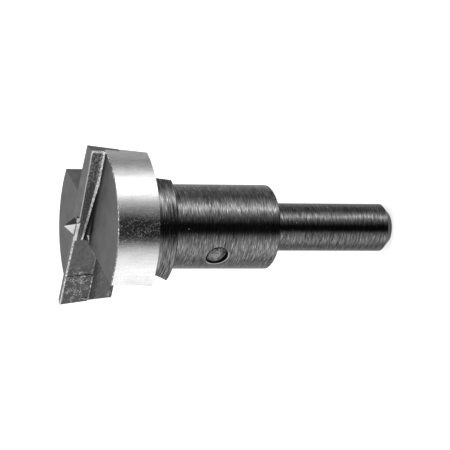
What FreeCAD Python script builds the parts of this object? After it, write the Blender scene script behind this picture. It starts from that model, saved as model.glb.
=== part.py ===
import FreeCAD, Part
import math
import os

import Sketcher

# Hinge boring bit: a 35 mm head with two carbide-tipped wings on a 3/8 inch shank, and a stop
# collar held on the shank by a set screw. The bit stands on the end of its shank: the origin is
# the middle of that end face, +Z runs up the axis to the cutting head, and +X runs along the
# wings. Lengths are in millimetres and angles in degrees.

SIZES = {
    "cut_dia": 35.0,  # circle swept by the carbide corners
    "rim_relief": 0.1,  # ground rim of the head inside that circle
    "rim_width": 8.5,
    "rim_bevel": 0.15,
    "edge_height": 3.05,  # cutting edges above the face of the head
    "point_height": 1.8,  # centre point above the cutting edges
    "point_length": 2.6,  # centre point at the level of the cutting edges
    "point_width": 1.65,
    "point_sink": 0.8,
    "point_shrink": 0.05,  # flat left at the tip of the point, as a share of its length and width
    "point_turn": -12.0,
    "flange_dia": 24.0,
    "flange_height": 6.0,
    "flange_chamfer": 0.3,
    "shank_dia": 9.525,
    "shank_chamfer": 1.5,
    "shank_free": 26.3,  # shank below the collar
    "groove_width": 0.8,  # relief groove that ends the ground part of the shank
    "groove_depth": 0.25,
    "groove_cover": 0.2,  # length of the groove under the collar
    "collar_dia": 16.7,
    "collar_length": 22.85,
    "collar_chamfer": 0.25,
    "collar_gap": 0.05,  # clearance between the collar and the flange
    "bore_clearance": 0.04,
    "edge_lead": 1.4,  # cutting edge ahead of the diameter
    "rake_angle": 10.0,
    "land_angle": 12.0,
    "web_reach": 2.4,  # each wing runs this far past the axis
    "wing_root": 0.6,  # wing sunk into the head
    "back_inner": 1.32,  # upright back of a wing behind the diameter, at its inner end
    "back_outer": 0.42,
    "back_fillet": 0.85,
    "gullet_floor": 2.55,
    "gullet_straight": 2.0,  # floor runs straight this far below the face, then curves out
    "gullet_radius": 17.7,
    "wall_step": 0.2,  # gullet wall set back behind the wing's face
    "step_reach": 7.3,
    "tip_length": 6.3,
    "tip_height": 6.2,
    "tip_thickness": 0.9,
    "tip_proud": 0.1,
    "side_relief": 0.15,
    "screw_dia": 4.1,
    "screw_recess": 0.4375,  # outer end of the screw inside the collar's side
    "screw_drop": 10.2,  # screw axis below the top of the collar
    "screw_angle": 12.0,
    "screw_chamfer": 0.35,
    "screw_clearance": 0.05,
    "socket_width": 2.0,
    "socket_depth": 1.5,
}
SPARE = 2.0  # how far a cut runs past the material

doc = FreeCAD.newDocument("hinge_boring_bit")


class Term:
    """A value with its number now and the expression that ties it to the sheet."""

    def __init__(self, number, text):
        self.number = number
        self.text = text

    def __add__(self, other):
        other = term(other)
        return Term(self.number + other.number, f"({self.text} + {other.text})")

    def __sub__(self, other):
        other = term(other)
        return Term(self.number - other.number, f"({self.text} - {other.text})")

    def __mul__(self, other):
        other = term(other)
        return Term(self.number * other.number, f"({self.text} * {other.text})")

    def __truediv__(self, other):
        other = term(other)
        return Term(self.number / other.number, f"({self.text} / {other.text})")

    def __neg__(self):
        return Term(-self.number, f"(-1 * {self.text})")


def term(value):
    return value if isinstance(value, Term) else Term(float(value), repr(float(value)))


def size(alias):
    return Term(SIZES[alias], f"sizes.{alias}")


def sine(angle):
    return Term(math.sin(math.radians(angle.number)), f"sin({angle.text} * 1 deg)")


def cosine(angle):
    return Term(math.cos(math.radians(angle.number)), f"cos({angle.text} * 1 deg)")


def tangent(angle):
    return Term(math.tan(math.radians(angle.number)), f"tan({angle.text} * 1 deg)")


def arctangent(slope):
    number = math.degrees(math.atan(slope.number))
    return Term(number, f"(atan({slope.text}) / 1 deg)")


def root(square):
    return Term(math.sqrt(square.number), f"sqrt({square.text})")


def make_sheet():
    """Write the driving sizes into a sheet, one named cell each."""
    sheet = doc.addObject("Spreadsheet::Sheet", "sizes")
    for row, (alias, value) in enumerate(SIZES.items(), start=1):
        sheet.set(f"A{row}", alias)
        sheet.set(f"B{row}", str(value))
        sheet.setAlias(f"B{row}", alias)
    doc.recompute()


def bind(feature, path, value):
    feature.setExpression(path, term(value).text)


def new_body(label):
    body = doc.addObject("PartDesign::Body", label)
    body.Label = label
    return body


def new_sketch(body, name, plane, shift=(0, 0, 0), axis=(0, 0, 1), turn=0):
    """Attach a sketch to an origin plane of its body, shifted and turned in that plane's frame."""
    sketch = body.newObject("Sketcher::SketchObject", name)
    planes = [item for item in body.Origin.OriginFeatures if item.Role == plane]
    sketch.AttachmentSupport = [(planes[0], "")]
    sketch.MapMode = "FlatFace"
    shift = [term(value) for value in shift]
    turn = term(turn)
    base = FreeCAD.Vector(*[value.number for value in shift])
    rotation = FreeCAD.Rotation(FreeCAD.Vector(*axis), turn.number)
    sketch.AttachmentOffset = FreeCAD.Placement(base, rotation)
    for letter, value in zip("xyz", shift):
        bind(sketch, f"AttachmentOffset.Base.{letter}", value)
    if turn.number:
        sketch.setExpression("AttachmentOffset.Rotation.Angle", f"{turn.text} * 1 deg")
    return sketch


def pin_point(sketch, element, end, point):
    """Fix one point of a sketch at named distances from its origin."""
    for kind, value in zip(("DistanceX", "DistanceY"), point):
        value = term(value)
        number = sketch.addConstraint(Sketcher.Constraint(kind, -1, 1, element, end, value.number))
        sketch.setExpression(f"Constraints[{number}]", value.text)


def draw_outline(sketch, points, open_end=False):
    """Draw straight lines through the points, closed unless the last side is left open."""
    corners = [FreeCAD.Vector(term(x).number, term(y).number, 0) for x, y in points]
    sides = len(points) - 1 if open_end else len(points)
    for index in range(sides):
        start = corners[index]
        end = corners[(index + 1) % len(points)]
        sketch.addGeometry(Part.LineSegment(start, end), False)
    for index in range(1, sides):
        sketch.addConstraint(Sketcher.Constraint("Coincident", index - 1, 2, index, 1))
    if not open_end:
        sketch.addConstraint(Sketcher.Constraint("Coincident", sides - 1, 2, 0, 1))
    for index in range(sides):
        pin_point(sketch, index, 1, points[index])
    if open_end:
        pin_point(sketch, sides - 1, 2, points[-1])


def close_with_arc(sketch, centre, radius, start, end, backwards=False):
    """Close an open outline with an arc, its angles in radians anticlockwise.

    The arc runs from the outline's last point to its first, or from first to last if backwards.
    """
    last = sketch.GeometryCount - 1
    middle = FreeCAD.Vector(centre[0].number, centre[1].number, 0)
    circle = Part.Circle(middle, FreeCAD.Vector(0, 0, 1), radius.number)
    arc = sketch.addGeometry(Part.ArcOfCircle(circle, start, end), False)
    first_end, last_end = (1, 2) if backwards else (2, 1)
    sketch.addConstraint(Sketcher.Constraint("Coincident", arc, first_end, 0, 1))
    sketch.addConstraint(Sketcher.Constraint("Coincident", arc, last_end, last, 2))
    number = sketch.addConstraint(Sketcher.Constraint("Radius", arc, radius.number))
    sketch.setExpression(f"Constraints[{number}]", radius.text)


def draw_circle(sketch, x, y, radius):
    centre = FreeCAD.Vector(term(x).number, term(y).number, 0)
    circle = sketch.addGeometry(Part.Circle(centre, FreeCAD.Vector(0, 0, 1), radius.number), False)
    pin_point(sketch, circle, 3, (x, y))
    number = sketch.addConstraint(Sketcher.Constraint("Radius", circle, radius.number))
    sketch.setExpression(f"Constraints[{number}]", radius.text)


def add_feature(body, kind, name, sketch, length=None, flip=False):
    """Add a sketch-based feature, with its length and side where it has them."""
    feature = body.newObject(f"PartDesign::{kind}", name)
    feature.Profile = sketch
    if length is not None:
        feature.Length = term(length).number
        bind(feature, "Length", length)
        feature.Reversed = flip
    sketch.Visibility = False
    return feature


def add_turned(body, kind, name, sketch):
    """Revolve a sketch about its upright axis, adding or cutting."""
    feature = add_feature(body, kind, name, sketch)
    feature.ReferenceAxis = (sketch, ["V_Axis"])
    feature.Angle = 360
    return feature


def repeat_opposite(body, name, originals):
    """Repeat features half a turn round the axis of the body."""
    axes = [item for item in body.Origin.OriginFeatures if item.Role == "Z_Axis"]
    pattern = body.newObject("PartDesign::PolarPattern", name)
    pattern.Originals = originals
    pattern.Axis = (axes[0], [""])
    pattern.Angle = 360
    pattern.Occurrences = 2
    body.Tip = pattern
    return pattern


def heights():
    """Levels up the axis, from the end of the shank."""
    level = {"collar_bottom": size("shank_free")}
    level["groove_top"] = level["collar_bottom"] + size("groove_cover")
    level["groove_bottom"] = level["groove_top"] - size("groove_width")
    level["collar_top"] = level["collar_bottom"] + size("collar_length")
    level["flange_bottom"] = level["collar_top"] + size("collar_gap")
    level["rim_bottom"] = level["flange_bottom"] + size("flange_height")
    level["face"] = level["rim_bottom"] + size("rim_width")
    level["edge"] = level["face"] + size("edge_height")
    level["screw"] = level["collar_top"] - size("screw_drop")
    return level


def rake_frame(body, name):
    """A sketch on the rake plane of the +X wing: x outward, y up the plane from the edge."""
    shift = (0, LEVEL["edge"], -size("edge_lead"))
    return new_sketch(body, name, "XZ_Plane", shift, (1, 0, 0), -size("rake_angle"))


def turn_blank(body):
    """Turn the shank, flange and head."""
    shank = size("shank_dia") / 2
    flange = size("flange_dia") / 2
    rim = LAYOUT["rim"]
    groove = shank - size("groove_depth")
    chamfer = size("shank_chamfer")
    bevel = size("flange_chamfer")
    rim_bevel = size("rim_bevel")
    sketch = new_sketch(body, "blank_outline", "XZ_Plane")
    draw_outline(sketch, [
        (0, 0),
        (shank - chamfer, 0),
        (shank, chamfer),
        (shank, LEVEL["groove_bottom"]),
        (groove, LEVEL["groove_bottom"]),
        (groove, LEVEL["groove_top"]),
        (shank, LEVEL["groove_top"]),
        (shank, LEVEL["flange_bottom"]),
        (flange - bevel, LEVEL["flange_bottom"]),
        (flange, LEVEL["flange_bottom"] + bevel),
        (flange, LEVEL["rim_bottom"]),
        (rim, LEVEL["rim_bottom"]),
        (rim, LEVEL["face"] - rim_bevel),
        (rim - rim_bevel, LEVEL["face"]),
        (0, LEVEL["face"]),
    ])
    add_turned(body, "Revolution", "blank", sketch)


def raise_wings(body):
    """Stand a wing on each half of the face: rake face, sloping land, and room for its back."""
    lead = size("edge_lead")
    back = size("back_inner") + size("back_fillet") * 2
    drop = (lead + back) * tangent(size("land_angle"))
    root_drop = size("edge_height") + size("wing_root")
    rim = LAYOUT["rim"]
    edge = LEVEL["edge"]
    inner = size("web_reach")

    section = new_sketch(body, "wing_section", "YZ_Plane", (0, 0, -inner))
    draw_outline(section, [
        (lead, edge),
        (lead - root_drop * tangent(size("rake_angle")), edge - root_drop),
        (-back, edge - root_drop),
        (-back, edge - drop),
    ])
    wing = add_feature(body, "Pad", "wing", section, inner + rim + SPARE)
    repeat_opposite(body, "wing_pair", [wing])

    trim = new_sketch(body, "rim_trim_outline", "XZ_Plane")
    draw_outline(trim, [
        (rim, LEVEL["face"] - root_drop),
        (rim + SPARE * 2, LEVEL["face"] - root_drop),
        (rim + SPARE * 2, edge + SPARE),
        (rim, edge + SPARE),
    ])
    add_turned(body, "Groove", "rim_trim", trim)


def mill_back(body):
    """Mill the upright back of the +X wing, with a fillet at its foot, tapering to the rim."""
    start = size("gullet_floor")
    rim = LAYOUT["rim"]
    fillet = size("back_fillet")
    taper = (size("back_inner") - size("back_outer")) / (start + rim)
    turn = arctangent(taper)
    wall = -size("back_inner") * cosine(turn)
    far = wall - fillet * 2 - SPARE
    face = LEVEL["face"]
    top = LEVEL["edge"] + SPARE

    section = new_sketch(body, "back_outline", "YZ_Plane", (0, 0, -start), (0, 1, 0), turn)
    draw_outline(section, [
        (wall, face + fillet),
        (wall, top),
        (far, top),
        (far, face),
        (wall - fillet, face),
    ], open_end=True)
    centre = (wall - fillet, face + fillet)
    close_with_arc(section, centre, fillet, math.radians(270), math.radians(360))
    return add_feature(body, "Pocket", "wing_back", section, start + rim + SPARE * 2, flip=True)


def draw_gullet(sketch, top):
    """Outline of a gullet on the rake plane: the given top corners, and a floor that curves out."""
    floor = size("gullet_floor")
    radius = size("gullet_radius")
    start = -(size("edge_height") + size("gullet_straight"))
    reach = LAYOUT["rim"] + SPARE
    centre = floor + radius
    drop = root(radius * radius - (centre - reach) * (centre - reach))
    corner = (reach, start - drop)
    draw_outline(sketch, [(floor, start)] + top + [corner], open_end=True)
    end = math.atan2(-drop.number, reach.number - centre.number) % (2 * math.pi)
    close_with_arc(sketch, (centre, start), radius, math.pi, end, backwards=True)


def mill_head(body):
    """Mill each wing's back and the gullet ahead of it, and sink the seats for the tips."""
    reach = LAYOUT["rim"] + SPARE
    floor = size("gullet_floor")
    tip = size("tip_height")
    inner = LAYOUT["tip_inner"]

    back = mill_back(body)

    outline = rake_frame(body, "gullet_outline")
    draw_gullet(outline, [(floor, SPARE), (reach, SPARE)])
    gullet = add_feature(body, "Pocket", "gullet", outline, reach + SPARE)

    setback = rake_frame(body, "wall_outline")
    draw_gullet(setback, [(floor, -size("edge_height")), (size("step_reach"), -tip), (reach, -tip)])
    wall = add_feature(body, "Pocket", "gullet_wall", setback, size("wall_step"), flip=True)

    seat_outline = rake_frame(body, "seat_outline")
    draw_outline(seat_outline, [(inner, -tip), (reach, -tip), (reach, SPARE), (inner, SPARE)])
    depth = size("tip_thickness") - size("tip_proud")
    seat = add_feature(body, "Pocket", "tip_seat", seat_outline, depth, flip=True)
    repeat_opposite(body, "milled_pair", [back, gullet, wall, seat])


def draw_point_section(body, name, level, scale):
    """A level section of the centre point, scaled from its size at the cutting edges."""
    section = new_sketch(body, name, "XY_Plane", (0, 0, level))
    half_length = size("point_length") / 2 * scale
    half_width = size("point_width") / 2 * scale
    turn = size("point_turn")
    corners = []
    for side, end in ((1, 1), (1, -1), (-1, -1), (-1, 1)):
        out = half_length * end
        across = half_width * side
        corners.append((
            out * cosine(turn) - across * sine(turn),
            out * sine(turn) + across * cosine(turn),
        ))
    draw_outline(section, corners)
    section.Visibility = False
    return section


def raise_point(body):
    """Raise the four-sided centre point."""
    height = size("point_height")
    sink = size("point_sink")
    base = draw_point_section(body, "point_base", LEVEL["edge"] - sink, (height + sink) / height)
    tip = draw_point_section(body, "point_tip", LEVEL["edge"] + height, size("point_shrink"))
    point = body.newObject("PartDesign::AdditiveLoft", "centre_point")
    point.Profile = base
    point.Sections = [tip]
    point.Ruled = True


def make_bit_body():
    body = new_body("bit_body")
    turn_blank(body)
    raise_wings(body)
    mill_head(body)
    raise_point(body)
    return body


def make_tip(label, half_turn):
    """One carbide tip: ground rake face, land, and a side that falls away behind the corner."""
    body = new_body(label)
    proud = size("tip_proud")
    behind = size("tip_thickness") - proud
    tilt = tangent(size("rake_angle") + size("land_angle"))
    lead = size("edge_lead")
    inner = LAYOUT["tip_inner"]
    outer = LAYOUT["tip_outer"]
    height = size("tip_height")

    shift = (lead, LEVEL["edge"], inner)
    section = new_sketch(body, "tip_section", "YZ_Plane", shift, (0, 0, 1), -size("rake_angle"))
    draw_outline(section, [
        (proud, proud * tilt),
        (proud, -height),
        (-behind, -height),
        (-behind, -behind * tilt),
    ])
    add_feature(body, "Pad", "tip_blank", section, outer - inner)

    side = new_sketch(body, "side_outline", "XY_Plane", (0, 0, LEVEL["edge"] + SPARE))
    front = lead + proud
    fall = size("side_relief") / size("tip_thickness")
    far = size("tip_thickness") + SPARE
    draw_outline(side, [
        (outer, front),
        (outer + SPARE, front),
        (outer + SPARE, front - far),
        (outer - fall * far, front - far),
    ])
    add_feature(body, "Pocket", "side_ground", side, height + SPARE * 2)
    if half_turn:
        body.Placement = FreeCAD.Placement(FreeCAD.Vector(), FreeCAD.Rotation(FreeCAD.Vector(0, 0, 1), 180))
    return body


def make_collar():
    """The stop collar: a bored cylinder with one radial hole for its set screw."""
    body = new_body("stop_collar")
    outer = size("collar_dia") / 2
    bore = size("shank_dia") / 2 + size("bore_clearance")
    bevel = size("collar_chamfer")
    bottom = LEVEL["collar_bottom"]
    top = LEVEL["collar_top"]
    section = new_sketch(body, "collar_outline", "XZ_Plane")
    draw_outline(section, [
        (bore + bevel, bottom),
        (outer - bevel, bottom),
        (outer, bottom + bevel),
        (outer, top - bevel),
        (outer - bevel, top),
        (bore + bevel, top),
        (bore, top - bevel),
        (bore, bottom + bevel),
    ])
    add_turned(body, "Revolution", "collar_blank", section)

    hole = new_sketch(body, "screw_hole_outline", "XZ_Plane", (0, 0, 0), (0, 1, 0), -size("screw_angle"))
    draw_circle(hole, 0, LEVEL["screw"], size("screw_dia") / 2 + size("screw_clearance"))
    add_feature(body, "Pocket", "screw_hole", hole, outer + SPARE, flip=True)
    return body


def make_screw():
    """The set screw: a short headless screw with a flat point and a hexagon socket."""
    body = new_body("set_screw")
    radius = size("screw_dia") / 2
    bevel = size("screw_chamfer")
    start = size("shank_dia") / 2 + size("screw_clearance")
    length = size("collar_dia") / 2 - size("screw_recess") - start
    way = -size("screw_angle")

    def cross_section(name, out):
        """A sketch square to the screw at a distance out from the axis of the bit."""
        shift = (sine(way) * out, 0, cosine(way) * out)
        return new_sketch(body, name, "XZ_Plane", shift, (0, 1, 0), way)

    round_end = cross_section("screw_outline", start)
    draw_circle(round_end, 0, LEVEL["screw"], radius)
    barrel = add_feature(body, "Pad", "screw_barrel", round_end, length)
    doc.recompute()
    rims = [
        f"Edge{number}"
        for number, edge in enumerate(barrel.Shape.Edges, start=1)
        if edge.isClosed()
    ]
    chamfer = body.newObject("PartDesign::Chamfer", "screw_chamfers")
    chamfer.Base = (barrel, rims)
    bind(chamfer, "Size", bevel)

    socket_end = cross_section("socket_outline", start + length)
    corner = size("socket_width") / math.sqrt(3)
    ways = [math.radians(60 * side) for side in range(6)]
    draw_outline(socket_end, [
        (corner * math.cos(angle), LEVEL["screw"] + corner * math.sin(angle)) for angle in ways
    ])
    add_feature(body, "Pocket", "socket", socket_end, size("socket_depth"))
    return body


def check_and_export(bodies):
    """Stop on any failed feature or invalid solid, then write one file for each piece."""
    for item in doc.Objects:
        if "Invalid" in item.State or "Error" in item.State:
            raise RuntimeError(f"{item.Name} failed: {item.State}")
    for body in bodies:
        shape = body.Shape
        if shape.isNull() or not shape.isValid() or len(shape.Solids) != 1:
            raise RuntimeError(f"{body.Label} is not one valid solid")
    os.makedirs("parts", exist_ok=True)
    for body in bodies:
        body.Shape.exportStep(f"parts/{body.Label}.step")
        print(body.Label, round(body.Shape.Volume, 2), body.Shape.BoundBox)


make_sheet()
LEVEL = heights()
TIP_FRONT = size("edge_lead") + size("tip_proud")
TIP_OUTER = root(size("cut_dia") * size("cut_dia") / 4 - TIP_FRONT * TIP_FRONT)
LAYOUT = {
    "rim": size("cut_dia") / 2 - size("rim_relief"),
    "tip_outer": TIP_OUTER,
    "tip_inner": TIP_OUTER - size("tip_length"),
}

pieces = [
    make_bit_body(),
    make_tip("carbide_tip_a", False),
    make_tip("carbide_tip_b", True),
    make_collar(),
    make_screw(),
]
doc.recompute()
check_and_export(pieces)
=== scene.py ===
"""Hinge boring bit: the camera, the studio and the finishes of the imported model.

Lengths are in millimetres where a name says so or where a value is multiplied by MM, and in metres
elsewhere. The origin is the middle of the shank's end, +Z runs up the axis to the head, and +X runs
along the wings.
"""

import math
from collections import namedtuple

import bpy
from mathutils import Matrix, Vector, noise


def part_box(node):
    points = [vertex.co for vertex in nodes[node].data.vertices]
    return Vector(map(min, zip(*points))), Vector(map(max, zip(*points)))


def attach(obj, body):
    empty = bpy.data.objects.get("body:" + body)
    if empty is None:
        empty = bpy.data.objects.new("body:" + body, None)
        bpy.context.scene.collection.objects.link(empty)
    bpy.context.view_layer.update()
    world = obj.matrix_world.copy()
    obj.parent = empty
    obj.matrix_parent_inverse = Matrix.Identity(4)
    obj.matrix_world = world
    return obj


MM = 0.001

# The camera looks 22 degrees down from 32 degrees right of -Y, a quarter turn over on its side.
CAMERA_AZIMUTH = 32.28
CAMERA_ELEVATION = 21.91
CAMERA_ROLL = -0.3
CAMERA_DISTANCE = 650 * MM
CAMERA_LENS = 262.4
TARGET_HEIGHT = 34.9 * MM
TARGET_SHIFT = 0.325 * MM

# Sizes in millimetres, slopes, and angles in degrees that no node's box gives.
COLLAR_GAP = 0.05
SHANK_CHAMFER = 1.5
SHANK_FREE = 26.3
FLANGE_HEIGHT = 6.0
RIM_WIDTH = 8.5
RIM_RADIUS = 17.4
GULLET_FLOOR = 2.55
EDGE_HEIGHT = 3.05
EDGE_LEAD = 1.4
RAKE_ANGLE = 10
RIDGE_HEIGHT = 2.5
STEP_HEIGHT = 3.15
STEP_SLOPE = 0.663
BACK_OFFSET = 1.205
BACK_TAPER = 0.0451
WING_END = 16.8
POINT_REACH = 2.0
TIP_PROUD = 0.1
SCREW_ANGLE = 12
SCREW_HOLE = 2.3
SCREW_FACE = 7.8

# Finishes without texture: tone, roughness, relief and bareness.
# Painted shadow in the corner under a wing's foot line.
SHADOW_BLACK = (0.012, 0.5, 0.0, 1.0)
# Painted shade inside the screw's hole.
HOLE_SHADE_BLACK = (0.012, 0.4, 0.0, 1.0)
# A painted highlight on the lower edge of the screw's hole.
LIT_RIM = (0.55, 0.3, 0.0, 0.4)

# Lumps on a bead of braze: the step along it in millimetres, its sides, and the two noise scales.
BEAD_STEP = 0.09
BEAD_SIDES = 12
LUMP_SCALE = 1500
RIPPLE_SCALE = 3500

Finish = namedtuple("Finish", "tone roughness height metal")


def view_axes():
    """Directions from the object to the camera, level towards it, and up in the picture."""
    azimuth = math.radians(CAMERA_AZIMUTH)
    elevation = math.radians(CAMERA_ELEVATION)
    level = Vector((math.sin(azimuth), -math.cos(azimuth), 0))
    to_camera = level * math.cos(elevation) + Vector((0, 0, math.sin(elevation)))
    picture_up = Vector((math.cos(azimuth), math.sin(azimuth), 0))
    return to_camera, level, picture_up


def make_camera():
    to_camera, _, up = view_axes()
    target = Vector((0, 0, TARGET_HEIGHT)) + up * TARGET_SHIFT
    up = Matrix.Rotation(math.radians(-CAMERA_ROLL), 3, to_camera) @ up
    data = bpy.data.cameras.new("photo_camera")
    data.lens = CAMERA_LENS
    data.clip_start = 0.01
    data.clip_end = 20
    camera = bpy.data.objects.new("photo_camera", data)
    bpy.context.scene.collection.objects.link(camera)
    right = up.cross(to_camera)
    turn = Matrix((right, up, to_camera)).transposed()
    place = Matrix.Translation(target + to_camera * CAMERA_DISTANCE)
    camera.matrix_world = place @ turn.to_4x4()
    bpy.context.scene.camera = camera


class Field:
    """A number that varies over a surface, joined to others with ordinary arithmetic."""

    def __init__(self, tree, socket):
        self.tree = tree
        self.socket = socket

    def __add__(self, other):
        return self.tree.math("ADD", self, other)

    def __radd__(self, other):
        return self.tree.math("ADD", other, self)

    def __sub__(self, other):
        return self.tree.math("SUBTRACT", self, other)

    def __rsub__(self, other):
        return self.tree.math("SUBTRACT", other, self)

    def __mul__(self, other):
        return self.tree.math("MULTIPLY", self, other)

    def __rmul__(self, other):
        return self.tree.math("MULTIPLY", other, self)

    def __truediv__(self, other):
        return self.tree.math("DIVIDE", self, other)

    def __abs__(self):
        return self.tree.math("ABSOLUTE", self)

    def step(self, low, high):
        """0 below low, 1 above high and smooth between; the other way round if low is higher."""
        rising = low < high
        inputs = {
            "Value": self,
            "From Min": low if rising else high,
            "From Max": high if rising else low,
            "To Min": 0.0 if rising else 1.0,
            "To Max": 1.0 if rising else 0.0,
        }
        return self.tree.field("ShaderNodeMapRange", inputs, interpolation_type="SMOOTHSTEP")

    def near(self, middle, half, soft):
        """1 within half of middle, falling to 0 over soft."""
        return abs(self - middle).step(half + soft, half)


class Tree:
    """The nodes of one material or of the world."""

    def __init__(self, owner):
        owner.use_nodes = True
        self.nodes = owner.node_tree.nodes
        self.links = owner.node_tree.links

    def set(self, socket, value):
        if isinstance(value, Field):
            value = value.socket
        if isinstance(value, bpy.types.NodeSocket):
            self.links.new(value, socket)
        else:
            socket.default_value = value

    def add(self, kind, inputs, **settings):
        node = self.nodes.new(kind)
        for key, value in settings.items():
            setattr(node, key, value)
        for key, value in inputs.items():
            self.set(node.inputs[key], value)
        return node

    def field(self, kind, inputs, output=0, **settings):
        return Field(self, self.add(kind, inputs, **settings).outputs[output])

    def math(self, operation, *values):
        return self.field("ShaderNodeMath", dict(enumerate(values)), operation=operation)

    def larger(self, first, second):
        return self.math("MAXIMUM", first, second)

    def mix(self, under, over, share):
        return self.field("ShaderNodeMix", {0: share, 2: under, 3: over})

    def vector(self, x, y, z):
        return self.add("ShaderNodeCombineXYZ", {0: x, 1: y, 2: z}).outputs[0]

    def split(self, vector):
        node = self.add("ShaderNodeSeparateXYZ", {0: vector})
        return [Field(self, socket) for socket in node.outputs]

    def noise(self, vector, scale, detail=2.0, roughness=0.5):
        inputs = {"Vector": vector, "Scale": scale, "Detail": detail, "Roughness": roughness}
        return self.field("ShaderNodeTexNoise", inputs)

    def place(self):
        """The three coordinates on the piece, in millimetres."""
        coordinates = self.add("ShaderNodeTexCoord", {}).outputs["Object"]
        inputs = {0: coordinates, "Scale": 1 / MM}
        scaled = self.add("ShaderNodeVectorMath", inputs, operation="SCALE")
        return self.split(scaled.outputs[0])

    def facing(self):
        """The surface's own direction on the piece."""
        normal = self.add("ShaderNodeTexCoord", {}).outputs["Normal"]
        return self.split(normal)


def finish_material(name, build):
    """A metal whose tone, roughness, relief and bareness come from build(tree)."""
    material = bpy.data.materials.new(name)
    tree = Tree(material)
    shader = tree.nodes["Principled BSDF"]
    finish = build(tree)
    tree.set(shader.inputs["Base Color"], finish.tone)
    tree.set(shader.inputs["Roughness"], finish.roughness)
    tree.set(shader.inputs["Metallic"], finish.metal)
    bump = tree.add("ShaderNodeBump", {"Height": finish.height, "Strength": 1.0, "Distance": MM})
    tree.set(shader.inputs["Normal"], bump.outputs[0])
    return material


def blend(tree, under, over, share):
    """One finish over another. A value that both share as a plain number stays one."""
    values = []
    for low, high in zip(under, over):
        plain = isinstance(low, float) and low == high
        values.append(low if plain else tree.mix(low, high, share))
    return Finish(*values)


def turned_black(tree, place):
    """Black oxide over the lines left by turning, with glints where the oxide has rubbed off, pale
    specks as painted glints, and painted shade at the joints.
    """
    x, y, z = place
    flange_bottom = RIM_BOTTOM - FLANGE_HEIGHT
    flange = z.step(flange_bottom - 0.1, flange_bottom + 0.1)
    short = 1.0 - flange * 0.4
    lines = tree.noise(tree.vector(x * short * 0.32, y * short * 0.32, z * 3.8), 1.0, 4.0, 0.65)
    fine = tree.noise(tree.vector(x * short * 0.7, y * short * 0.7, z * 6.5), 1.0, 2.0, 0.6)
    cloud = tree.noise(tree.vector(x, y, z), 0.35, 4.0, 0.6)
    glints = fine.step(0.60, 0.78)
    streak = ((lines - 0.5) * 1.2 + (fine - 0.5) * 1.5) * (1.0 + flange * 0.5)
    # The shank is darker in tone. Painted shade lies in the joint under the flange and along the
    # collar's lower edge. The end chamfer is darker again.
    shank = z.step(SHANK_FREE + 0.1, SHANK_FREE - 0.1)
    joint = z.near(flange_bottom, 0.28, 0.12)
    collar_edge = z.near(SHANK_FREE + 0.12, 0.12, 0.08)
    chamfer = z.step(SHANK_CHAMFER + 0.05, SHANK_CHAMFER - 0.10)
    dark = (1.0 - shank * 0.25) * (1.0 - joint * 0.90)
    dark = dark * (1.0 - collar_edge * 0.7) * (1.0 - chamfer * 0.6)
    tone = 0.165 + streak * 0.33 + glints * 0.36 + (cloud - 0.5) * 0.08
    tone = tree.larger(tone, 0.02) * dark
    rough = 0.120 + (cloud - 0.5) * 0.08 - streak * 0.10
    # Pale, less metallic specks: painted glints.
    glint_specks = tree.noise(tree.vector(x, y, z), 2.4, 3.0, 0.6).step(0.68, 0.75)
    return Finish(tone + glint_specks * 0.3, rough, streak * 0.008, 1.0 - glint_specks * 0.7)


def ground_steel(tree, place):
    """Bright steel with fine grinding lines round the axis and dull, speckled patches."""
    x, y, z = place
    lines = tree.noise(tree.vector(x * 0.25, y * 0.25, z * 7.0), 1.0, 3.0, 0.6)
    cloud = tree.noise(tree.vector(x, y, z), 0.40, 5.0, 0.65)
    drag = tree.noise(tree.vector(x * 1.7, y * 1.7, z * 0.25), 1.0, 3.0, 0.65)
    speckle = tree.noise(tree.vector(x, y, z), 2.4, 4.0, 0.7)
    tone = 0.83 + (lines - 0.5) * 0.14 + (cloud - 0.5) * 0.24 + (drag - 0.5) * 0.30
    rough = 0.11 + (cloud - 0.5) * 0.14 + (drag - 0.5) * 0.14 + speckle.step(0.50, 0.66) * 0.11
    relief = (lines - 0.5) * 0.003 + (speckle - 0.5) * 0.010
    dull = speckle.step(0.46, 0.68) * 0.10
    return Finish(tone, rough, relief, 1.0 - dull)


def milled_grey(tree, place):
    """Matt grey steel of the head as it came from the cutter."""
    x, y, z = place
    cloud = tree.noise(tree.vector(x, y, z), 0.45, 4.0, 0.65)
    grain = tree.noise(tree.vector(x, y, z), 3.0, 4.0, 0.7)
    scratch = tree.noise(tree.vector(x * 0.4, y * 3.0, z * 3.0), 1.0, 3.0, 0.6)
    tone = 0.225 + (cloud - 0.5) * 0.16 + (grain - 0.5) * 0.08 + (scratch - 0.5) * 0.05
    rough = 0.40 + (cloud - 0.5) * 0.12
    return Finish(tone, rough, (grain - 0.5) * 0.016, 1.0)


def bare_edge_and_highlight(tree, place):
    """The bright torn metal along a milled edge, also laid on as painted highlights and glints."""
    x, y, z = place
    grain = tree.noise(tree.vector(x, y, z), 3.4, 4.0, 0.75)
    tone = 0.12 + grain.step(0.34, 0.60) * 0.83
    return Finish(tone, 0.35, (grain - 0.5) * 0.04, 0.2)


def dark_scale(tree, place):
    """Near-black heat scale with flecks where it has flaked off."""
    x, y, z = place
    radius = tree.math("SQRT", x * x + y * y)
    grain = tree.noise(tree.vector(x, y, z), 3.4, 5.0, 0.75)
    flakes = grain.step(0.47, 0.62) * (0.14 + radius.step(7.0, 14.0) * 0.30)
    return Finish(0.09 + flakes, 0.42, (grain - 0.5) * 0.05, 0.6)


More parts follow.
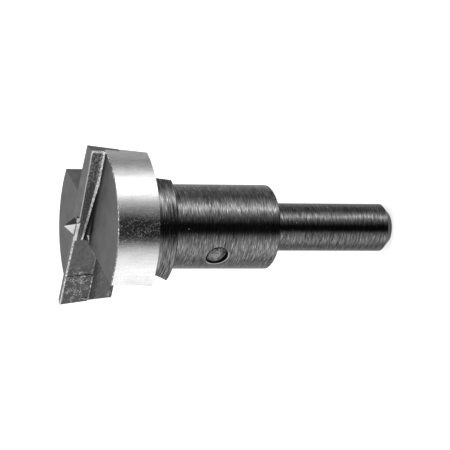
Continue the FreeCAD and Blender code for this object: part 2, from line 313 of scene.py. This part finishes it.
def bit_finish(tree):
    """Black shank and flange, bright rim, matt grey head, dark wing backs, bright edges, painted
    highlights and painted shade.
    """
    place = tree.place()
    x, y, z = place
    normal_x, normal_y, normal_z = tree.facing()
    radius = tree.math("SQRT", x * x + y * y)
    height = z - (RIM_BOTTOM + RIM_WIDTH)
    wobble = tree.noise(tree.vector(x, y, z), 1.2, 3.0, 0.6) - 0.5

    # The two wings are half a turn apart: along runs out along the wing whose back is on this side.
    side = tree.math("SIGN", normal_y * 10.0 + y * 0.1) * -1.0
    along = x * side
    across = y * side
    behind = along * BACK_TAPER - BACK_OFFSET - across
    outward = normal_y * side
    back_half = along.step(-GULLET_FLOOR - 0.06, -GULLET_FLOOR)
    raised = height.step(0.02, 0.06)
    back = raised * back_half * outward.step(-0.24, -0.34)
    rake = height.step(-0.02, 0.02) * (1.0 - back_half) * outward.step(-0.5, -0.8)

    head = z.step(RIM_BOTTOM - 0.05, RIM_BOTTOM + 0.05)
    rim = head * radius.step(RIM_RADIUS - 0.2, RIM_RADIUS - 0.12) * (1.0 - raised)
    bevel, glints = rim_glints(tree, place, radius, height)
    grey = milled_grey(tree, place)
    edge = bare_edge_and_highlight(tree, place)
    scale = dark_scale(tree, place)

    face = normal_z.step(0.8, 0.9) * height.near(0.0, 0.05, 0.05) * back_half
    # Painted shade on the face beside each wing's back.
    shade = face * (behind + wobble * 1.6).step(2.6, 0.9)
    gullet = head * (1.0 - back_half) * outward.step(-0.5, -0.8)
    inward = tree.larger(along * -1.0, GULLET_FLOOR)
    step_edge = (inward - GULLET_FLOOR) * STEP_SLOPE
    step_edge = tree.math("MINIMUM", step_edge, STEP_HEIGHT) * -1.0
    under_step = height - step_edge
    step_shadow = gullet * under_step.step(0.10, -0.02) * under_step.step(-2.2, -0.3)
    smear = gullet * inward.step(8.6, 9.4) * height.step(-3.4, -2.8)
    low_corner = (inward + wobble * 2.0).step(14.2, 14.6) * height.step(-7.3, -7.6)
    smear = tree.larger(smear, gullet * low_corner)
    step_highlight = gullet * (under_step - wobble * 0.5).near(0.18, 0.08, 0.10) * inward.step(4.5, 6.0)
    torn = tree.noise(tree.vector(x, y, z), 2.0, 4.0, 0.7) - 0.5
    # Painted shade beside the wing backs, darker mottled gullets, a painted shadow below each step,
    # and a painted highlight along the step's edge.
    dull = 1.0 - shade * 0.85 - gullet * (0.47 - torn * 0.75)
    dull = dull - step_shadow * 0.30 + step_highlight * (0.35 + torn)
    lit_and_shaded_grey = Finish(grey.tone * dull, grey.roughness, grey.height, grey.metal)
    finish = blend(tree, turned_black(tree, place), lit_and_shaded_grey, head)
    finish = blend(tree, finish, braze_flecks(tree, place), smear)
    finish = blend(tree, finish, ground_steel(tree, place), rim)
    finish = blend(tree, finish, scale, back)

    # The backs, from the face up: painted shade in a dim strip, a painted black shadow in the
    # corner, and painted highlights on the foot line and the ridge.
    line = tree.larger(1.0 - along * 0.075, 0.10)
    gap = height - line - wobble * 0.20
    foot = back * gap.near(0.0, 0.17, 0.08)
    under = back * gap.step(-0.16, -0.24)
    corner = under * gap.step(-0.90, -0.55)
    ridge = back * (height - RIDGE_HEIGHT - along * 0.0096).step(-0.26, -0.18)
    outer_end = back * along.step(WING_END - 0.05, WING_END + 0.10)
    strip = rake * (height + wobble * 0.3).step(EDGE_HEIGHT - 0.46, EDGE_HEIGHT - 0.38)
    dim = Finish(grey.tone * 0.25, grey.roughness, grey.height, grey.metal)
    finish = blend(tree, finish, dim, under)
    finish = blend(tree, finish, Finish(*SHADOW_BLACK), corner)

    # A painted highlight: a bright sliver in the face beside the centre point, 30 degrees off the
    # wing.
    forward = along + 1.1
    inwards = across + 1.5
    sliver_highlight = (forward * 0.496 - inwards * 0.868).near(0.0, 0.12, 0.08)
    sliver_highlight = sliver_highlight * (forward * -0.868 - inwards * 0.496).near(0.85, 0.6, 0.25)
    sliver_highlight = sliver_highlight * height.near(0.0, 0.5, 0.1)
    # The rim's bevel is matt grey. Painted highlights lie on the foot lines, on the glints along
    # the bevel and on the sliver. Bright edge metal lies on the wings' outer ends and on the strip
    # by the cutting edge.
    finish = blend(tree, finish, grey, bevel)
    for share in (foot, outer_end, strip, glints, sliver_highlight):
        finish = blend(tree, finish, edge, share)
    # A painted highlight along the ridge.
    finish = blend(tree, finish, Finish(0.85 + wobble * 0.5, 0.3, 0.0, 0.1), ridge)

    # The centre point: one pair of its faces is painted bright as if lit, and the other pair is
    # painted dark as if shaded.
    point = height.step(EDGE_HEIGHT - 0.25, EDGE_HEIGHT - 0.15)
    point = point * radius.step(POINT_REACH + 0.1, POINT_REACH - 0.1) * normal_z.step(0.9, 0.8)
    lit = (normal_x * normal_y).step(-0.05, 0.05)
    ground = Finish(0.10 + lit * 0.75 + wobble * 0.2, 0.30, wobble * 0.02, 1.0 - lit * 0.8)
    return blend(tree, finish, ground, point)


def rim_glints(tree, place, radius, height):
    """The bevel between the rim and the face, and the painted glints along it."""
    x, y, z = place
    bevel = radius.step(RIM_RADIUS - 0.22, RIM_RADIUS - 0.16) * height.near(-0.02, 0.12, 0.04)
    glints = tree.noise(tree.vector(x, y, z), 2.4, 3.0, 0.7).step(0.50, 0.58)
    return bevel, bevel * glints


def braze_flecks(tree, place):
    """Dark burnt flux with bright flecks of braze."""
    x, y, z = place
    grain = tree.noise(tree.vector(x, y, z), 4.2, 5.0, 0.8)
    patch = tree.noise(tree.vector(x, y, z), 0.8, 2.0, 0.5)
    flecks = (grain + (patch - 0.5) * 0.5).step(0.53, 0.64)
    tone = 0.06 + grain * 0.08 + flecks * 0.34
    return Finish(tone, 0.38, (grain - 0.5) * 0.05, 1.0 - flecks * 0.6)


def carbide_finish(tree):
    """Dark carbide with flecks of braze, and a honed bright edge."""
    place = tree.place()
    x, y, z = place
    normal_y = tree.facing()[1]
    wobble = tree.noise(tree.vector(x, y, z), 1.2, 3.0, 0.6) - 0.5
    height = z - (RIM_BOTTOM + RIM_WIDTH + EDGE_HEIGHT)
    honed = abs(normal_y).step(0.8, 0.9) * (height + wobble * 0.2).step(-0.34, -0.28)
    ground = Finish(0.24 + wobble * 0.2, 0.36, wobble * 0.01, 1.0)
    finish = blend(tree, ground, braze_flecks(tree, place), abs(normal_y).step(0.8, 0.9))
    return blend(tree, finish, bare_edge_and_highlight(tree, place), honed)


def braze_finish(tree):
    """Pale braze, dulled in patches by flux."""
    x, y, z = tree.place()
    grain = tree.noise(tree.vector(x, y, z), 3.4, 4.0, 0.7)
    clean = tree.noise(tree.vector(x, y, z), 0.9, 2.0, 0.5).step(0.44, 0.58)
    tone = 0.09 + grain.step(0.40, 0.62) * (0.12 + clean * 0.55)
    return Finish(tone, 0.30, (grain - 0.5) * 0.03, 0.6)


def collar_finish(tree):
    """Black collar, with painted shade in a line round the screw's hole and a painted highlight on
    its lower side.
    """
    place = tree.place()
    x, y, z = place
    black = turned_black(tree, place)
    turn = math.radians(SCREW_ANGLE)
    beside = x * math.cos(turn) - y * math.sin(turn)
    above = z - SCREW_HEIGHT
    out = (x * -math.sin(turn) + y * -math.cos(turn)).step(5.0, 5.2)
    reach = tree.math("SQRT", beside * beside + above * above)
    # Painted shade inside the screw's hole, and a painted highlight on the hole's lower edge.
    gap = out * reach.step(SCREW_HOLE + 0.02, SCREW_HOLE - 0.08)
    rim = out * reach.near(SCREW_HOLE + 0.12, 0.07, 0.06)
    rim = rim * (beside + above * 0.6).step(0.4, -1.4)
    finish = blend(tree, black, Finish(*HOLE_SHADE_BLACK), gap)
    return blend(tree, finish, Finish(*LIT_RIM), rim)


def screw_finish(tree):
    """Black screw with painted light in its socket."""
    place = tree.place()
    black = turned_black(tree, place)
    x, y, z = place
    turn = math.radians(SCREW_ANGLE)
    out = x * -math.sin(turn) + y * -math.cos(turn)
    # Painted light in the socket, below the screw's face.
    socket_light = out.step(SCREW_FACE + 0.06, SCREW_FACE)
    tone = black.tone + socket_light * 0.60
    return Finish(tone, black.roughness + 0.15, black.height, 1.0 - socket_light * 0.5)


def bead(name, points, radius, seed):
    """A lumpy bead of braze along a run of points, half sunk in the corner that it fills."""
    mesh = bpy.data.meshes.new(name)
    path = [Vector(point) * MM for point in points]
    stops = []
    for first, last in zip(path, path[1:]):
        way = (last - first).normalized()
        count = max(2, int((last - first).length / (BEAD_STEP * MM)))
        stops += [(first.lerp(last, step / count), way) for step in range(count)]
    stops.append((path[-1], (path[-1] - path[-2]).normalized()))
    sides = BEAD_SIDES
    corners = []
    for index, (middle, way) in enumerate(stops):
        lump = noise.noise(middle * LUMP_SCALE + Vector((seed, 0, 0)))
        swell = max(0.3, 0.85 + 1.2 * lump)
        taper = min(1.0, 0.35 + 0.3 * min(index, len(stops) - 1 - index))
        across = way.orthogonal().normalized()
        lift = way.cross(across)
        for side in range(sides):
            angle = 2 * math.pi * side / sides
            spread = across * math.cos(angle) + lift * math.sin(angle)
            ripple = 1.0 + 0.3 * noise.noise((middle + spread * radius * MM) * RIPPLE_SCALE)
            corners.append(middle + spread * radius * MM * swell * taper * ripple)
    faces = []
    for ring in range(len(stops) - 1):
        for side in range(sides):
            after = (side + 1) % sides
            low = ring * sides
            faces.append((low + side, low + after, low + sides + after, low + sides + side))
    faces.append(tuple(reversed(range(sides))))
    faces.append(tuple(range((len(stops) - 1) * sides, len(stops) * sides)))
    mesh.from_pydata(corners, [], faces)
    for polygon in mesh.polygons:
        polygon.use_smooth = True
    piece = bpy.data.objects.new(name, mesh)
    bpy.context.scene.collection.objects.link(piece)
    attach(piece, "bit")
    return piece


def braze_tip(node, name, turn, material):
    """Beads of braze along a carbide tip's inner end and lower edge, and down its outer side."""
    low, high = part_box(node)
    reach = [abs(low.x) / MM, abs(high.x) / MM]
    inner, outer = min(reach), max(reach)
    bottom = low.z / MM
    edge = RIM_BOTTOM + RIM_WIDTH + EDGE_HEIGHT
    slope = math.tan(math.radians(RAKE_ANGLE))

    def on_rake(along, level, proud=TIP_PROUD * 0.5):
        across = EDGE_LEAD + proud - (edge - level) * slope
        return (along * turn, across * turn, level)

    end = inner - 0.04
    upper = on_rake(outer - 1.1, bottom + 2.0, TIP_PROUD)
    lower = on_rake(outer - 0.8, bottom + 0.2, TIP_PROUD)
    runs = [
        (0.18, on_rake(end, edge - 0.45), on_rake(end, bottom + 0.1)),
        (0.16, on_rake(inner, bottom), on_rake(outer - 0.45, bottom)),
        (0.22, upper, lower),
    ]
    for index, (radius, start, stop) in enumerate(runs):
        piece = bead(f"{name}_{index}", (start, stop), radius, turn * 3 + index * 7)
        piece.data.materials.append(material)


def dress(node, material):
    """Put one material on every slot of a node."""
    for slot in node.material_slots:
        slot.material = material


def make_floor():
    """A wide pale floor. Steel doesn't mirror it, so the soft boxes show in the steel instead."""
    half = 3.0
    corners = [(-half, -half, 0), (half, -half, 0), (half, half, 0), (-half, half, 0)]
    mesh = bpy.data.meshes.new("floor")
    mesh.from_pydata(corners, [], [(0, 1, 2, 3)])
    floor = bpy.data.objects.new("floor", mesh)
    bpy.context.scene.collection.objects.link(floor)
    floor.visible_glossy = False
    material = bpy.data.materials.new("pale_floor")
    material.use_nodes = True
    shader = material.node_tree.nodes["Principled BSDF"]
    shader.inputs["Base Color"].default_value = (0.55, 0.55, 0.55, 1)
    shader.inputs["Roughness"].default_value = 0.9
    shader.inputs["Emission Color"].default_value = (1, 1, 1, 1)
    shader.inputs["Emission Strength"].default_value = 0.75
    mesh.materials.append(material)


def make_backdrop():
    """A white wall round the floor that only the camera sees, so that low views have no horizon."""
    sides = 48
    distance = 2.9
    height = 3.0
    corners = []
    for level in (-0.01, height):
        for side in range(sides):
            angle = 2 * math.pi * side / sides
            corners.append((distance * math.cos(angle), distance * math.sin(angle), level))
    faces = []
    for side in range(sides):
        after = (side + 1) % sides
        faces.append((side, after, sides + after, sides + side))
    mesh = bpy.data.meshes.new("backdrop")
    mesh.from_pydata(corners, [], faces)
    backdrop = bpy.data.objects.new("backdrop", mesh)
    bpy.context.scene.collection.objects.link(backdrop)
    backdrop.visible_glossy = False
    backdrop.visible_diffuse = False
    backdrop.visible_shadow = False
    backdrop.visible_transmission = False
    material = bpy.data.materials.new("white_backdrop")
    material.use_nodes = True
    shader = material.node_tree.nodes["Principled BSDF"]
    shader.inputs["Base Color"].default_value = (0, 0, 0, 1)
    shader.inputs["Roughness"].default_value = 1.0
    shader.inputs["Specular IOR Level"].default_value = 0.0
    shader.inputs["Emission Color"].default_value = (1, 1, 1, 1)
    shader.inputs["Emission Strength"].default_value = 1.0
    mesh.materials.append(material)


# Brightness of the studio round the object, by degrees from the camera: dark behind the camera, a
# soft box on each side, and a grey room behind the object.
STUDIO = [
    (-180, 0.45),
    (-130, 0.55),
    (-106, 0.58),
    (-92, 0.75),
    (-80, 1.10),
    (-60, 1.22),
    (-44, 0.94),
    (-35, 0.74),
    (-27, 0.40),
    (-20, 0.10),
    (-13, 0.02),
    (8, 0.02),
    (15, 0.12),
    (25, 0.30),
    (34, 0.66),
    (42, 1.16),
    (51, 2.50),
    (58, 1.90),
    (68, 1.00),
    (78, 0.54),
    (86, 0.34),
    (92, 0.28),
    (99, 0.34),
    (112, 0.38),
    (130, 0.50),
    (180, 0.45),
]


def make_studio():
    """Soft boxes as bands of the world, and one soft lamp above."""
    _, level, up = view_axes()
    world = bpy.data.worlds.new("studio")
    bpy.context.scene.world = world
    tree = Tree(world)
    direction = tree.add("ShaderNodeTexCoord", {}).outputs["Generated"]

    def along(axis):
        inputs = {0: direction, 1: axis}
        return tree.field("ShaderNodeVectorMath", inputs, "Value", operation="DOT_PRODUCT")

    turn = tree.math("ARCTAN2", along(up), along(level)) / (2 * math.pi) + 0.5
    ramp = tree.add("ShaderNodeValToRGB", {0: turn})
    stops = ramp.color_ramp.elements
    while len(stops) < len(STUDIO):
        stops.new(0.5)
    for stop, (degrees, light) in zip(stops, STUDIO):
        stop.position = degrees / 360 + 0.5
        stop.color = (light, light, light, 1)
    background = tree.nodes["Background"]
    tree.set(background.inputs["Color"], ramp.outputs[0])
    background.inputs["Strength"].default_value = 1.0

    lamp_data = bpy.data.lights.new("top_box", "AREA")
    lamp_data.size = 1.0
    lamp_data.energy = 6.0
    lamp = bpy.data.objects.new("top_box", lamp_data)
    lamp.location = (0, 0.2, 1.2)
    lamp.visible_camera = False
    bpy.context.scene.collection.objects.link(lamp)


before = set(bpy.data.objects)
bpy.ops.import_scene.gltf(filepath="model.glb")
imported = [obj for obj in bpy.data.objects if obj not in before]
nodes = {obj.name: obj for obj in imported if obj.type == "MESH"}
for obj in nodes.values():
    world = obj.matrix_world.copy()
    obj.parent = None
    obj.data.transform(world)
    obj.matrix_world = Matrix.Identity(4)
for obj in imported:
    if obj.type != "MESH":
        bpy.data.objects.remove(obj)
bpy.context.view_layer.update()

RIM_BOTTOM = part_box("stop_collar")[1].z / MM + COLLAR_GAP + FLANGE_HEIGHT
SCREW_HEIGHT = sum(corner.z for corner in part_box("set_screw")) / 2 / MM

make_camera()
make_floor()
make_backdrop()
make_studio()
bpy.context.scene.view_settings.view_transform = "Standard"

dress(nodes["bit_body"], finish_material("bit_steel", bit_finish))
carbide = finish_material("carbide_tip", carbide_finish)
dress(nodes["carbide_tip_a"], carbide)
dress(nodes["carbide_tip_b"], carbide)
dress(nodes["stop_collar"], finish_material("black_oxide_turned", collar_finish))
dress(nodes["set_screw"], finish_material("black_screw_lit_socket", screw_finish))
braze = finish_material("silver_braze", braze_finish)
braze_tip("carbide_tip_a", "braze_a", 1, braze)
braze_tip("carbide_tip_b", "braze_b", -1, braze)
